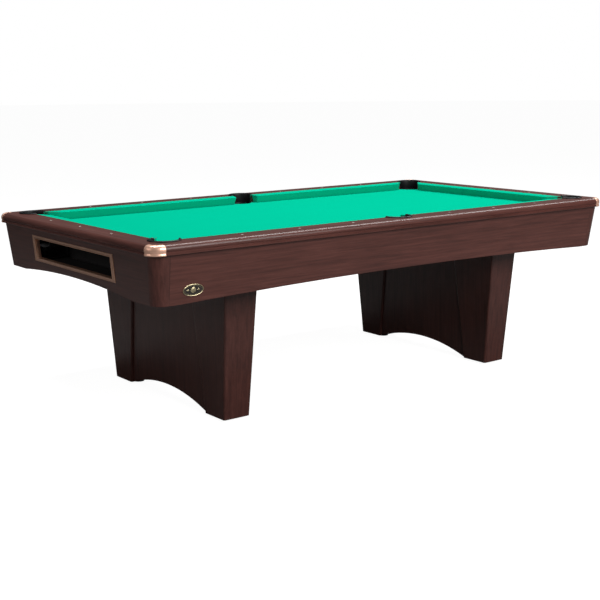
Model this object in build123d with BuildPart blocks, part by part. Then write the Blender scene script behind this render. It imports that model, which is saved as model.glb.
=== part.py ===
from build123d import *
import os
from math import atan2, degrees, hypot, radians, tan

# Eight-foot pool table with drop pockets, a ball return and two pedestals.
# Millimetres. The origin is on the floor under the table's centre, +X runs along the
# table, +Z is up. The ball-return window is in the left end (-X), and the long side
# with the name plate is the front (-Y).

os.makedirs("parts", exist_ok=True)

# ---------------------------------------------------------------------------
# Driving dimensions
# ---------------------------------------------------------------------------

# Playing surface
play_length = 2240.0  # between the noses of the end cushions
play_width = 1120.0  # between the noses of the side cushions
bed_height = 775.0  # floor to the cloth on the bed
cloth_thickness = 0.8
slate_thickness = 19.0
slate_margin = 112.0  # slate beyond the cushion noses

# Rails
rail_width = 160.0  # cushion nose to the rail's outer edge
rail_joint_gap = 0.2  # between a long rail's two lengths, behind the side pocket
rail_height = 40.0
rail_edge_radius = 19.0  # round on the rail's upper outer edge
rail_corner_radius = 60.0
rail_lip_height = 8.0  # lip below the groove
rail_groove_depth = 3.5
rail_groove_height = 7.0
groove_bevel = 2.0  # slope at the groove's two edges
groove_foot_rise = 1.0
lip_bevel_width = 1.0  # bevel along the rail's lower edge
lip_bevel_height = 1.5

# Cushions
cushion_width = 49.0  # nose to the feather line where the cloth meets the wood
rubber_width = 36.0
nose_height = 37.0
nose_overhang = 12.0  # nose beyond the foot of the cushion's face
nose_radius = 3.0
corner_mouth = 115.0  # between the cushion noses
side_mouth = 128.0
corner_cut_angle = 142.0  # between the nose line and the pocket facing
side_cut_angle = 104.0
facing_draft_angle = 13.0  # undercut of the pocket facings

# Pockets
corner_pocket_offset = 35.0  # pocket centre beyond both nose lines
side_pocket_offset = 60.0  # pocket centre beyond the nose line
corner_pocket_radius = 54.0  # inside the liner
side_pocket_radius = 52.0
liner_wall = 4.0
liner_rim_width = 12.0
liner_rim_thickness = 6.0
liner_rim_round = 2.5
liner_tail = 13.0  # liner below the slate
liner_clearance = 0.5  # liner to slate, cloth and rail

# Rail fittings
sight_setback = 94.5  # sight centre beyond the nose line
sight_radius = 5.5
sight_depth = 3.0
sight_stand = 0.2  # sight above the rail's top
rail_bolt_setback = 80.0
rail_bolt_shares = (0.076, 0.25, 0.424)  # bolt stations over the playing length
end_bolt_share = 0.295  # over the playing width
rail_bolt_radius = 5.0
rail_bolt_grip = 28.0  # thread inside the rail
rail_bolt_clearance = 1.5
bolt_washer_radius = 15.0
bolt_washer_thickness = 2.5
bolt_head_radius = 8.5
bolt_head_height = 6.5
cap_wall = 3.5
cap_stand = 0.6  # cap's face beyond the rail's
cap_drop = 1.0  # cap below the rail's underside
cap_top_width = 24.0

# Cabinet
cabinet_height = 196.0
shadow_gap = 2.0  # cabinet top to rail underside
rail_overhang = 15.5  # rail's edge beyond the cabinet's top edge
end_batter = 16.0  # inward slope of the ends, top to bottom
side_batter = 25.0  # inward slope of the long sides, top to bottom
panel_thickness = 20.0
post_reach = 72.0  # post and panel joint in from the cabinet's top corner
post_radius = 52.0
side_arch_half = 1150.0
side_arch_rise = 23.0
end_arch_half = 500.0
end_arch_rise = 25.0

# Ball-return window and its trim
window_width = 706.0  # clear opening inside the trim
window_height = 88.0
window_drop = 86.0  # bed down to the window's centre
trim_side = 22.0
trim_band = 14.0
trim_thickness = 4.0
trim_bevel = 2.4
trim_sleeve = 2.0
trim_clearance = 0.5

# Name plate
plate_width = 92.0
plate_height = 48.0
plate_thickness = 3.0
plate_rim = 3.0
plate_setback = 190.0  # plate's centre from the table's left end
plate_rise = 52.0  # plate's centre above the cabinet's foot

# Frame under the slate
leg_plate_thickness = 23.0
cross_beam_height = 48.0
cross_beam_width = 60.0
leg_beam_width = 120.0
long_beam_width = 45.0
inner_beam_place = 142.5
end_beam_gap = 7.0  # end cross beam to the return box
long_beam_gap = 4.0  # long beam's end to the return box
outer_beam_gap = 49.0  # outer long beam to the gutter
slate_screw_radius = 3.0
slate_screw_head_radius = 7.0
slate_screw_head_depth = 4.0
slate_screw_length = 60.0
slate_screw_inset = 190.0  # in from a slate's ends

# Ball gutters and return box
gutter_width = 110.0
gutter_wall = 3.0
gutter_wall_height = 45.0
gutter_offset = 9.0  # gutter's centre outside the corner pockets' centres
gutter_end_margin = 9.0  # gutter's end beyond the corner pocket
gutter_beam_gap = 9.0  # gutter's low end above the cross beams
gutter_fall = 32.0  # right end down to left end
chute_width = 108.0
chute_fall = 20.0  # gutter down to the chute's exit
box_step = 10.0  # chute's exit down to the box's floor
box_side_margin = 2.0  # chutes' mouths beyond each side of the window
box_lap = 45.0  # box's ends under the chutes
box_back_gap = 15.0  # box's back wall behind the chutes
box_clearance = 1.8  # box's floor to the end panel
box_wall = 6.0
box_back_height = 105.0

# Pedestals
pedestal_place = 769.0
leg_bottom = 12.0
leg_base_thickness = 129.0  # along the table
leg_top_thickness = 160.0
leg_base_inner = 325.0  # column's inner face from the centre line
leg_base_outer = 477.0
leg_top_inner = 250.0
leg_top_outer = 534.0
leg_edge_radius = 9.0
leg_wall = 22.0
leg_foot_block = 60.0
panel_recess = 10.0
arch_half = 325.0
arch_rise = 57.0
panel_web = 60.0  # solid panel above the arch
leg_bolt_radius = 4.0
leg_bolt_grip = 50.0
leg_bolt_head_radius = 9.0
leg_bolt_head_height = 6.0

# Levelling feet
foot_place = 370.0  # foot centre from the centre line
pad_radius = 25.0
pad_height = 9.6
pad_chamfer = 1.5
pad_floor = 3.0
pad_cavity_height = 3.4
collar_radius = 9.0
collar_height = 3.0
stud_radius = 6.0
stud_height = 56.0  # top of the stud above the floor
stud_clearance = 0.05
stud_well_clearance = 1.0
insert_radius = 8.5
insert_length = 34.0
insert_flange_radius = 12.0
insert_flange_thickness = 2.0
stud_well = 12.0  # room above the stud

# ---------------------------------------------------------------------------
# Values worked out from the driving dimensions
# ---------------------------------------------------------------------------

UP = Vector(0, 0, 1)
OUTWARD = {
    "front": Vector(0, -1, 0),
    "rear": Vector(0, 1, 0),
    "left": Vector(-1, 0, 0),
    "right": Vector(1, 0, 0),
}
CORNERS = {
    "front_left": (-1, -1),
    "front_right": (1, -1),
    "rear_left": (-1, 1),
    "rear_right": (1, 1),
}

table_half_length = play_length / 2 + rail_width
table_half_width = play_width / 2 + rail_width
slate_half_length = play_length / 2 + slate_margin
slate_half_width = play_width / 2 + slate_margin
slate_joint = slate_half_length / 3
slate_top = bed_height - cloth_thickness
slate_bottom = slate_top - slate_thickness
cabinet_top = bed_height - shadow_gap
cabinet_bottom = cabinet_top - cabinet_height
cross_beam_base = cabinet_bottom + leg_plate_thickness
beam_top = cross_beam_base + cross_beam_height
window_centre_height = bed_height - window_drop
plate_place = plate_setback - table_half_length
plate_centre_height = cabinet_bottom + plate_rise
half_nose = {
    "front": play_length / 2,
    "rear": play_length / 2,
    "left": play_width / 2,
    "right": play_width / 2,
}

# Where the cushion noses end, and how much longer a cushion is at its back
corner_setback = corner_mouth / 2**0.5
corner_flare = tan(radians(corner_cut_angle - 90))
side_flare = tan(radians(side_cut_angle - 90))
nose_drop = rail_height - nose_height

corner_liner_radius = corner_pocket_radius + liner_wall
side_liner_radius = side_pocket_radius + liner_wall
corner_hole_radius = corner_liner_radius + liner_clearance
side_hole_radius = side_liner_radius + liner_clearance
corner_pocket_place = (play_length / 2 + corner_pocket_offset, play_width / 2 + corner_pocket_offset)
side_pocket_place = play_width / 2 + side_pocket_offset

# The gutters run under the pockets, and the return box lies between their chutes
gutter_half_width = gutter_width / 2
gutter_half = corner_pocket_place[0] + corner_pocket_radius + gutter_end_margin
gutter_centre = corner_pocket_place[1] + gutter_offset
gutter_inside = gutter_centre - gutter_half_width - gutter_wall
gutter_floor_low = beam_top + gutter_beam_gap + gutter_wall
gutter_floor_high = gutter_floor_low + gutter_fall
gutter_end = gutter_half - gutter_wall
chute_exit_height = gutter_floor_low - chute_fall
box_floor_height = chute_exit_height - box_step
box_top = box_floor_height + box_back_height
box_half = window_width / 2 + box_side_margin
box_back = gutter_end - chute_width - box_back_gap
end_beam_place = box_back - end_beam_gap - cross_beam_width / 2
long_beam_half = box_back - long_beam_gap
outer_beam_place = gutter_inside - outer_beam_gap - long_beam_width / 2

# Sights stand an eighth of the length, or a quarter of the width, apart
sight_pitch = play_length / 8
end_sight_pitch = play_width / 4
sight_places = {
    "front": [n * sight_pitch for n in (-3, -2, -1, 1, 2, 3)],
    "left": [n * end_sight_pitch for n in (-1, 0, 1)],
}
sight_places["rear"] = sight_places["front"]
sight_places["right"] = sight_places["left"]
bolt_places = {
    "front": [n * play_length * share for n in (-1, 1) for share in rail_bolt_shares],
    "left": [n * play_width * end_bolt_share for n in (-1, 0, 1)],
}
bolt_places["rear"] = bolt_places["front"]
bolt_places["right"] = bolt_places["left"]


def plan_plane(side, height=bed_height):
    """Level plane at a side's nose line, with its y axis pointing out of the table."""
    outward = OUTWARD[side]
    nose = Vector(outward.X * play_length / 2, outward.Y * play_width / 2, height)
    return Plane(origin=nose, x_dir=outward.cross(UP), z_dir=UP)


def section_plane(side, station=0.0):
    """Upright plane across a rail: x points out of the table, y points up."""
    outward = OUTWARD[side]
    along = outward.cross(UP)
    nose = Vector(outward.X * play_length / 2, outward.Y * play_width / 2, bed_height)
    return Plane(origin=nose + along * station, x_dir=outward, z_dir=along)


def to_corner(shape, sign_x, sign_y):
    """Move a piece made for the rear right corner to another corner."""
    if sign_x < 0:
        shape = shape.mirror(Plane.YZ)
    if sign_y < 0:
        shape = shape.mirror(Plane.XZ)
    return shape


def save(block, name):
    """Label a finished piece and write it as its own file."""
    block.part.label = name
    export_step(block.part, f"parts/{name}.step")


# ---------------------------------------------------------------------------
# Cabinet
# ---------------------------------------------------------------------------


def cabinet_half_length(height, inset=0.0):
    """Half the cabinet's length at a height, less an inset."""
    slope = end_batter / cabinet_height
    return table_half_length - rail_overhang - slope * (cabinet_top - height) - inset


def cabinet_half_width(height, inset=0.0):
    """Half the cabinet's width at a height, less an inset."""
    slope = side_batter / cabinet_height
    return table_half_width - rail_overhang - slope * (cabinet_top - height) - inset


post_joint_x = cabinet_half_length(cabinet_top) - post_reach
post_joint_y = cabinet_half_width(cabinet_top) - post_reach


def tapered_block(bottom, top, inset=0.0, radius=0.0):
    """The cabinet's tapered outline between two heights, solid."""
    with BuildPart() as block:
        for height in (bottom, top):
            length = 2 * cabinet_half_length(height, inset)
            width = 2 * cabinet_half_width(height, inset)
            with BuildSketch(Plane.XY.offset(height)):
                if radius > 0:
                    RectangleRounded(length, width, radius)
                else:
                    Rectangle(length, width)
        loft(ruled=True)
    return block.part


cabinet_outside = tapered_block(cabinet_bottom, cabinet_top, radius=post_radius)
cabinet_inside = tapered_block(cabinet_bottom, cabinet_top, inset=panel_thickness)

# Long side panels, with a shallow arch along the bottom edge
for side, sign in (("front", -1), ("rear", 1)):
    bottom_y = sign * cabinet_half_width(cabinet_bottom)
    top_y = sign * cabinet_half_width(cabinet_top)
    depth = sign * panel_thickness
    with BuildPart() as side_panel:
        with BuildSketch(Plane.YZ.offset(-post_joint_x)):
            with BuildLine():
                Polyline(
                    (bottom_y, cabinet_bottom),
                    (top_y, cabinet_top),
                    (top_y - depth, cabinet_top),
                    (bottom_y - depth, cabinet_bottom),
                    close=True,
                )
            make_face()
        extrude(amount=2 * post_joint_x)
        with BuildSketch(Plane.XZ):
            with BuildLine():
                ThreePointArc(
                    (-side_arch_half, cabinet_bottom),
                    (0, cabinet_bottom + side_arch_rise),
                    (side_arch_half, cabinet_bottom),
                )
                Line((side_arch_half, cabinet_bottom), (-side_arch_half, cabinet_bottom))
            make_face()
        extrude(amount=table_half_width, both=True, mode=Mode.SUBTRACT)
    save(side_panel, f"cabinet_side_{side}")

# End panels; the left one has the ball-return window, cut square to its slope
end_slope = degrees(atan2(end_batter, cabinet_height))
end_face = Plane(
    origin=(-cabinet_half_length(window_centre_height), 0, window_centre_height),
    x_dir=(0, -1, 0),
    z_dir=Vector(-1, 0, 0).rotate(Axis.Y, -end_slope),
)
for side, sign in (("left", -1), ("right", 1)):
    bottom_x = sign * cabinet_half_length(cabinet_bottom)
    top_x = sign * cabinet_half_length(cabinet_top)
    depth = sign * panel_thickness
    with BuildPart() as end_panel:
        with BuildSketch(Plane.XZ.offset(-post_joint_y)):
            with BuildLine():
                Polyline(
                    (bottom_x, cabinet_bottom),
                    (top_x, cabinet_top),
                    (top_x - depth, cabinet_top),
                    (bottom_x - depth, cabinet_bottom),
                    close=True,
                )
            make_face()
        extrude(amount=2 * post_joint_y)
        with BuildSketch(Plane.YZ):
            with BuildLine():
                ThreePointArc(
                    (-end_arch_half, cabinet_bottom),
                    (0, cabinet_bottom + end_arch_rise),
                    (end_arch_half, cabinet_bottom),
                )
                Line((end_arch_half, cabinet_bottom), (-end_arch_half, cabinet_bottom))
            make_face()
        extrude(amount=table_half_length, both=True, mode=Mode.SUBTRACT)
        if side == "left":
            hole_margin = 2 * (trim_sleeve + trim_clearance)
            with BuildSketch(end_face):
                Rectangle(window_width + hole_margin, window_height + hole_margin)
            extrude(amount=2 * panel_thickness, both=True, mode=Mode.SUBTRACT)
    save(end_panel, f"cabinet_end_{side}")

# Corner posts: rounded outside, square inside
for corner, (sign_x, sign_y) in CORNERS.items():
    with BuildPart() as post:
        add(cabinet_outside)
        with BuildSketch(Plane.XY.offset(cabinet_bottom)):
            with Locations((sign_x * post_joint_x, sign_y * post_joint_y)):
                align_x = Align.MIN if sign_x > 0 else Align.MAX
                align_y = Align.MIN if sign_y > 0 else Align.MAX
                Rectangle(2 * post_reach, 2 * post_reach, align=(align_x, align_y))
        extrude(amount=cabinet_height, mode=Mode.INTERSECT)
        add(cabinet_inside, mode=Mode.SUBTRACT)
    save(post, f"corner_post_{corner}")

# Copper trim around the window: a bevelled face band and a sleeve through the panel
with BuildPart() as return_trim:
    with BuildSketch(end_face):
        Rectangle(window_width + 2 * trim_side, window_height + 2 * trim_band)
    extrude(amount=trim_thickness)
    face_axis = Axis(end_face.origin, end_face.z_dir)
    chamfer(return_trim.faces().sort_by(face_axis)[-1].edges(), trim_bevel)
    with BuildSketch(end_face):
        Rectangle(window_width + 2 * trim_sleeve, window_height + 2 * trim_sleeve)
    extrude(amount=-panel_thickness)
    with BuildSketch(end_face):
        Rectangle(window_width, window_height)
    extrude(amount=2 * panel_thickness, both=True, mode=Mode.SUBTRACT)
save(return_trim, "return_trim")

# Plain oval name plate with a raised rim, on the front panel
side_slope = degrees(atan2(side_batter, cabinet_height))
plate_face = Plane(
    origin=(plate_place, -cabinet_half_width(plate_centre_height), plate_centre_height),
    x_dir=(1, 0, 0),
    z_dir=Vector(0, -1, 0).rotate(Axis.X, side_slope),
)
with BuildPart() as name_plate:
    with BuildSketch(plate_face):
        Ellipse(plate_width / 2, plate_height / 2)
    extrude(amount=plate_thickness)
    with BuildSketch(plate_face.offset(plate_thickness / 2)):
        Ellipse(plate_width / 2 - plate_rim, plate_height / 2 - plate_rim)
    extrude(amount=plate_thickness, mode=Mode.SUBTRACT)
save(name_plate, "name_plate")

# ---------------------------------------------------------------------------
# Frame under the slate
# ---------------------------------------------------------------------------

# Cross beams reach the side panels, and carry the long beams
with BuildPart() as cross_beams:
    with BuildSketch(Plane.XY.offset(cross_beam_base)):
        with Locations((-end_beam_place, 0), (0, 0), (end_beam_place, 0)):
            Rectangle(cross_beam_width, 2 * table_half_width)
        with Locations((-pedestal_place, 0), (pedestal_place, 0)):
            Rectangle(leg_beam_width, 2 * table_half_width)
    extrude(amount=cross_beam_height)
    add(cabinet_inside, mode=Mode.INTERSECT)
    leg_bolt_places = []
    for sign_x in (-1, 1):
        for sign_y in (-1, 1):
            lean = leg_bolt_grip / 2 / (cross_beam_base - leg_bottom)
            inner = leg_top_inner + leg_wall / 2 + lean * (leg_base_inner - leg_top_inner)
            outer = leg_top_outer - leg_wall / 2 - lean * (leg_top_outer - leg_base_outer)
            leg_bolt_places.append((sign_x * pedestal_place, sign_y * inner))
            leg_bolt_places.append((sign_x * pedestal_place, sign_y * outer))
    with BuildSketch(Plane.XY.offset(cross_beam_base)):
        with Locations(*leg_bolt_places):
            Circle(leg_bolt_radius)
    extrude(amount=cross_beam_height, mode=Mode.SUBTRACT)
save(cross_beams, "cross_beams")

slate_screw_places = []
for sign_y in (-1, 1):
    for slate_centre in (-2 * slate_joint, 0, 2 * slate_joint):
        for sign_x in (-1, 1):
            slate_screw_places.append(
                (slate_centre + sign_x * (slate_joint - slate_screw_inset), sign_y * outer_beam_place)
            )

with BuildPart() as long_beams:
    with BuildSketch(Plane.XY.offset(beam_top)):
        for place in (outer_beam_place, inner_beam_place):
            with Locations((0, -place), (0, place)):
                Rectangle(2 * long_beam_half, long_beam_width)
    extrude(amount=slate_bottom - beam_top)
    with BuildSketch(Plane.XY.offset(slate_bottom)):
        with Locations(*slate_screw_places):
            Circle(slate_screw_radius)
    extrude(amount=slate_thickness - slate_screw_length, mode=Mode.SUBTRACT)
save(long_beams, "long_beams")

# ---------------------------------------------------------------------------
# Slate bed and its cloth
# ---------------------------------------------------------------------------


def pocket_holes():
    """Circles for the six pockets, inside an open sketch."""
    for sign_x, sign_y in CORNERS.values():
        with Locations((sign_x * corner_pocket_place[0], sign_y * corner_pocket_place[1])):
            Circle(corner_hole_radius, mode=Mode.SUBTRACT)
    with Locations((0, -side_pocket_place), (0, side_pocket_place)):
        Circle(side_hole_radius, mode=Mode.SUBTRACT)


rail_bolt_points = []
for side, outward in OUTWARD.items():
    along = outward.cross(UP)
    reach = Vector(outward.X * play_length / 2, outward.Y * play_width / 2, 0)
    for station in bolt_places[side]:
        rail_bolt_points.append(reach + outward * rail_bolt_setback + along * station)

for number, name in enumerate(("slate_left", "slate_centre", "slate_right")):
    with BuildPart() as slate:
        with BuildSketch(Plane.XY.offset(slate_bottom)):
            with Locations(((number - 1) * 2 * slate_joint, 0)):
                Rectangle(2 * slate_joint, 2 * slate_half_width)
            pocket_holes()
            with Locations(*[(point.X, point.Y) for point in rail_bolt_points]):
                Circle(rail_bolt_radius + rail_bolt_clearance, mode=Mode.SUBTRACT)
            with Locations(*slate_screw_places):
                Circle(slate_screw_radius, mode=Mode.SUBTRACT)
        extrude(amount=slate_thickness)
        with BuildSketch(Plane.XY.offset(slate_top - slate_screw_head_depth)):
            with Locations(*slate_screw_places):
                Circle(slate_screw_head_radius)
        extrude(amount=slate_screw_head_depth, mode=Mode.SUBTRACT)
    save(slate, name)

with BuildPart() as slate_screws:
    with BuildSketch(Plane.XY.offset(slate_top - slate_screw_head_depth)):
        with Locations(*slate_screw_places):
            Circle(slate_screw_head_radius)
    extrude(amount=slate_screw_head_depth)
    with BuildSketch(Plane.XY.offset(slate_top - slate_screw_length)):
        with Locations(*slate_screw_places):
            Circle(slate_screw_radius)
    extrude(amount=slate_screw_length)
save(slate_screws, "slate_screws")

with BuildPart() as bed_cloth:
    with BuildSketch(Plane.XY.offset(slate_top)):
        Rectangle(2 * slate_half_length, 2 * slate_half_width)
        pocket_holes()
        with Locations(*[(point.X, point.Y) for point in rail_bolt_points]):
            Circle(rail_bolt_radius + rail_bolt_clearance, mode=Mode.SUBTRACT)
    extrude(amount=cloth_thickness)
save(bed_cloth, "bed_cloth")

# ---------------------------------------------------------------------------
# Corner caps, made for the rear right corner
# ---------------------------------------------------------------------------

cap_centre = (table_half_length - rail_corner_radius, table_half_width - rail_corner_radius)


def edge_points(stand, bottom):
    """The rail's outer edge, from its foot up to the round on top, grown by a stand."""
    groove = rail_lip_height + rail_groove_height
    return [
        (stand - lip_bevel_width, bottom),
        (stand, bottom + lip_bevel_height),
        (stand, rail_lip_height - groove_bevel),
        (stand - rail_groove_depth, rail_lip_height + groove_foot_rise),
        (stand - rail_groove_depth, groove - groove_bevel),
        (stand, groove + groove_bevel),
        (stand, rail_height - rail_edge_radius),
    ]


def cap_ring(stand, bottom, width, top):
    """A quarter ring with the rail's edge shape, around the corner's centre."""
    edge = [(rail_corner_radius + x, bed_height + y) for x, y in edge_points(stand, bottom)]
    shoulder = (rail_corner_radius + stand - rail_edge_radius, bed_height + top)
    inner_top = (rail_corner_radius - width, bed_height + top)
    inner_bottom = (rail_corner_radius - width, bed_height + bottom)
    with BuildPart() as ring:
        with BuildSketch(Plane(origin=(*cap_centre, 0), x_dir=(1, 0, 0), z_dir=(0, -1, 0))):
            with BuildLine():
                Polyline(inner_bottom, *edge)
                TangentArc(edge[-1], shoulder, tangent=(0, 1))
                Polyline(shoulder, inner_top, inner_bottom)
            make_face()
        revolve(axis=Axis((*cap_centre, 0), (0, 0, 1)), revolution_arc=90)
    return ring.part


cap_outside = cap_ring(cap_stand, -cap_drop, cap_top_width, rail_height + cap_stand)
cap_inside = cap_ring(cap_stand - cap_wall, -2 * cap_drop, cap_top_width, rail_height - cap_wall)
# Room that the cap takes from the rails: everything outside the cap's inner face
with BuildPart() as cap_room:
    with BuildSketch(Plane.XY.offset(bed_height - cap_drop)):
        with Locations(cap_centre):
            Rectangle(2 * rail_corner_radius, 2 * rail_corner_radius, align=Align.MIN)
            Circle(rail_corner_radius - cap_top_width, mode=Mode.SUBTRACT)
    extrude(amount=rail_height + 2 * cap_drop)
    add(cap_inside, mode=Mode.SUBTRACT)

for corner, (sign_x, sign_y) in CORNERS.items():
    with BuildPart() as corner_cap:
        add(to_corner(cap_outside, sign_x, sign_y))
        add(to_corner(cap_inside, sign_x, sign_y), mode=Mode.SUBTRACT)
    save(corner_cap, f"corner_cap_{corner}")

# ---------------------------------------------------------------------------
# Rails
# ---------------------------------------------------------------------------


def cushion_top(setback):
    """Height of the cushion's top above the bed, at a distance behind the nose."""
    return rail_height - nose_drop * (1 - setback / cushion_width)


# How far the facings are undercut at the bed and at the rail's top
FACING_LEVELS = (
    (bed_height, rail_height * tan(radians(facing_draft_angle))),
    (bed_height + rail_height, 0.0),
)


for side in OUTWARD:
    nose = half_nose[side]
    edge = [(rail_width + x, y) for x, y in edge_points(0, 0)]
    shoulder = (rail_width - rail_edge_radius, rail_height)
    ledge = rail_height - cloth_thickness
    with BuildPart() as rail:
        with BuildSketch(section_plane(side, -nose - rail_width)):
            with BuildLine():
                Polyline((rubber_width, 0), *edge)
                TangentArc(edge[-1], shoulder, tangent=(0, 1))
                Polyline(
                    shoulder,
                    (cushion_width, rail_height),
                    (cushion_width, ledge),
                    (rubber_width, cushion_top(rubber_width) - cloth_thickness),
                    (rubber_width, 0),
                )
            make_face()
        extrude(amount=2 * (nose + rail_width))
        # Mitred ends
        with BuildSketch(plan_plane(side)):
            with BuildLine():
                Polyline(
                    (-nose, 0),
                    (nose, 0),
                    (nose + rail_width, rail_width),
                    (-nose - rail_width, rail_width),
                    close=True,
                )
            make_face()
        extrude(amount=rail_height, mode=Mode.INTERSECT)
        # The wood is cut back along the pocket facings, which are undercut
        for sign in (-1, 1):
            for height, undercut in FACING_LEVELS:
                tip = nose - corner_setback - undercut
                heel = tip + cushion_width * corner_flare
                with BuildSketch(plan_plane(side, height)):
                    with BuildLine():
                        Polyline(
                            (sign * tip, 0),
                            (sign * heel, cushion_width),
                            (sign * (nose + cushion_width), cushion_width),
                            (sign * (nose + cushion_width), 0),
                            close=True,
                        )
                    make_face()
            loft(ruled=True, mode=Mode.SUBTRACT)
        if side in ("front", "rear"):
            for height, undercut in FACING_LEVELS:
                tip = side_mouth / 2 + undercut
                heel = tip - cushion_width * side_flare
                with BuildSketch(plan_plane(side, height)):
                    with BuildLine():
                        Polyline(
                            (-tip, 0),
                            (tip, 0),
                            (heel, cushion_width),
                            (-heel, cushion_width),
                            close=True,
                        )
                    make_face()
            loft(ruled=True, mode=Mode.SUBTRACT)
        # Pocket cut-outs
        with BuildSketch(plan_plane(side)):
            with Locations(
                (-nose - corner_pocket_offset, corner_pocket_offset),
                (nose + corner_pocket_offset, corner_pocket_offset),
            ):
                Circle(corner_hole_radius)
            if side in ("front", "rear"):
                with Locations((0, side_pocket_offset)):
                    Circle(side_hole_radius)
                # Each long rail is two lengths, which meet behind the side pocket
                Rectangle(rail_joint_gap, 2 * rail_width)
        extrude(amount=rail_height, mode=Mode.SUBTRACT)
        # Threaded holes for the rail bolts, and seats for the sights
        with BuildSketch(plan_plane(side)):
            with Locations(*[(station, rail_bolt_setback) for station in bolt_places[side]]):
                Circle(rail_bolt_radius)
        extrude(amount=rail_bolt_grip, mode=Mode.SUBTRACT)
        with BuildSketch(plan_plane(side, bed_height + rail_height)):
            with Locations(*[(station, sight_setback) for station in sight_places[side]]):
                Circle(sight_radius)
        extrude(amount=-sight_depth, mode=Mode.SUBTRACT)
        # Room for the corner caps
        for sign_x, sign_y in CORNERS.values():
            add(to_corner(cap_room.part, sign_x, sign_y), mode=Mode.SUBTRACT)
    save(rail, f"rail_{side}")

with BuildPart() as rail_sights:
    for side in OUTWARD:
        with BuildSketch(plan_plane(side, bed_height + rail_height - sight_depth)):
            with Locations(*[(station, sight_setback) for station in sight_places[side]]):
                Circle(sight_radius)
        extrude(amount=sight_depth + sight_stand)
save(rail_sights, "rail_sights")

# Rail bolts come up through the slate into the rails
with BuildPart() as rail_bolts:
    bolt_spots = [(point.X, point.Y) for point in rail_bolt_points]
    with BuildSketch(Plane.XY.offset(slate_bottom - bolt_washer_thickness)):
        with Locations(*bolt_spots):
            Circle(bolt_washer_radius)
    extrude(amount=bolt_washer_thickness)
    with BuildSketch(Plane.XY.offset(slate_bottom - bolt_washer_thickness)):
        with Locations(*bolt_spots):
            RegularPolygon(bolt_head_radius, 6)
    extrude(amount=-bolt_head_height)
    with BuildSketch(Plane.XY.offset(slate_bottom)):
        with Locations(*bolt_spots):
            Circle(rail_bolt_radius)
    extrude(amount=bed_height + rail_bolt_grip - slate_bottom)
save(rail_bolts, "rail_bolts")

# ---------------------------------------------------------------------------
# Cushions
# ---------------------------------------------------------------------------

face_lean = nose_overhang / nose_height
cloth_across = cloth_thickness * hypot(1, face_lean)
inner_nose_setback = (cloth_across + face_lean * cloth_thickness) / (
    1 + face_lean * nose_drop / cushion_width
)
inner_nose = (inner_nose_setback, cushion_top(inner_nose_setback) - cloth_thickness)


def cushion_piece(side, ends, cloth):
    """A cushion's rubber, or its cloth, between two pocket facings.

    Each end is the nose's end along the rail, and how much the piece lengthens with
    each millimetre behind the nose.
    """
    (start, start_flare), (stop, stop_flare) = ends
    reach = table_half_length
    depth = cushion_width if cloth else rubber_width
    with BuildPart() as piece:
        with BuildSketch(section_plane(side, -reach)) as section:
            with BuildLine():
                if cloth:
                    Polyline(
                        (cushion_width, rail_height),
                        (0, nose_height),
                        (nose_overhang, 0),
                        (nose_overhang + cloth_across, 0),
                        inner_nose,
                        (cushion_width, rail_height - cloth_thickness),
                        close=True,
                    )
                else:
                    Polyline(
                        (rubber_width, cushion_top(rubber_width) - cloth_thickness),
                        inner_nose,
                        (nose_overhang + cloth_across, 0),
                        (rubber_width, 0),
                        close=True,
                    )
            make_face()
            noses = [(inner_nose, nose_radius - cloth_thickness)]
            if cloth:
                noses.append(((0, nose_height), nose_radius))
            for place, radius in noses:
                corner = section.vertices().sort_by_distance(place)[0]
                fillet(corner, radius)
        extrude(amount=2 * reach)
        for height, undercut in FACING_LEVELS:
            first, last = start + undercut, stop - undercut
            with BuildSketch(plan_plane(side, height)):
                with BuildLine():
                    Polyline(
                        (first, 0),
                        (last, 0),
                        (last + stop_flare * depth, depth),
                        (first - start_flare * depth, depth),
                        close=True,
                    )
                make_face()
        loft(ruled=True, mode=Mode.INTERSECT)
    return piece.part


corner_end = play_length / 2 - corner_setback
end_cushion_end = play_width / 2 - corner_setback
long_ends = ((side_mouth / 2, side_flare), (corner_end, corner_flare))
short_ends = ((-end_cushion_end, corner_flare), (end_cushion_end, corner_flare))
long_rubber = cushion_piece("rear", long_ends, cloth=False)
long_cloth = cushion_piece("rear", long_ends, cloth=True)
for corner, (sign_x, sign_y) in CORNERS.items():
    with BuildPart() as cushion:
        add(to_corner(long_rubber, sign_x, sign_y))
    save(cushion, f"cushion_{corner}")
short_rubber = cushion_piece("right", short_ends, cloth=False)
short_cloth = cushion_piece("right", short_ends, cloth=True)
for side, sign in (("left", -1), ("right", 1)):
    with BuildPart() as cushion:
        add(to_corner(short_rubber, sign, 1))
    save(cushion, f"cushion_{side}")

with BuildPart() as cushion_cloths:
    for sign_x, sign_y in CORNERS.values():
        add(to_corner(long_cloth, sign_x, sign_y))
    for sign in (-1, 1):
        add(to_corner(short_cloth, sign, 1))
save(cushion_cloths, "cushion_cloths")

# ---------------------------------------------------------------------------
# Pocket liners
# ---------------------------------------------------------------------------


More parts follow.
